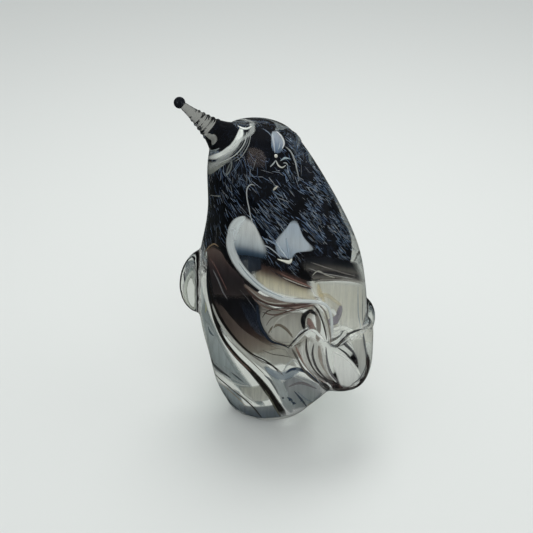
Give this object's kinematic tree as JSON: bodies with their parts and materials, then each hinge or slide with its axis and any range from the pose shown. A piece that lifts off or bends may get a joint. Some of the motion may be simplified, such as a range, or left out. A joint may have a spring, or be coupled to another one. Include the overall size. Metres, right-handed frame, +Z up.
{
  "type": "penguin figurine",
  "caption": "Solid art-glass penguin on a ground flat foot, with raised ringed beak, dark inner core and coloured ribbons in clear glass.",
  "frame": {"origin": "middle of the flat ground foot, on the surface that the figurine stands on", "axes": "+Z up along the body, the longest way; the chest faces -Y, the back and tail +Y, and the penguin's left side is +X; the beak is turned towards the left side"},
  "size_m": [0.0723, 0.0743, 0.1344],
  "materials": {
    "clear_glass": "fire-polished clear glass",
    "navy_glass": "near-black navy glass under clear glass",
    "smoky_glass": "smoky brown-purple glass under clear glass",
    "ochre_glass": "ochre-brown glass under clear glass",
    "umber_glass": "dark brown-black ribbon glass",
    "white_glass": "bluish-white opal glass",
    "veil_glass": "pale grey veil in clear glass",
    "cloud_glass": "cloudy blue-grey milky glass"
  },
  "bodies": {
    "root": {"casing": "clear_glass", "beak": "clear_glass", "collar": "clear_glass", "wing_fold": "clear_glass", "left_flipper": "clear_glass", "right_flipper": "clear_glass", "tail_lobe": "clear_glass", "dark_core": "navy_glass", "beak_heart": "navy_glass", "beak_tip": "navy_glass", "navy_frit": "navy_glass", "smoky_gather": "smoky_glass", "ochre_tongue": "ochre_glass", "dark_cane": "umber_glass", "fine_cane": "umber_glass", "pale_ribbon": "white_glass", "white_frit": "white_glass", "star_trail": "white_glass", "star_bubble": "white_glass", "crown_veil": "white_glass", "nape_thread": "white_glass", "cheek_thread": "white_glass", "wing_veil": "veil_glass", "shoulder_veil": "veil_glass", "tail_veil": "veil_glass", "milky_swirl": "cloud_glass", "cloud_swirl": "cloud_glass"}
  },
  "joints": []
}
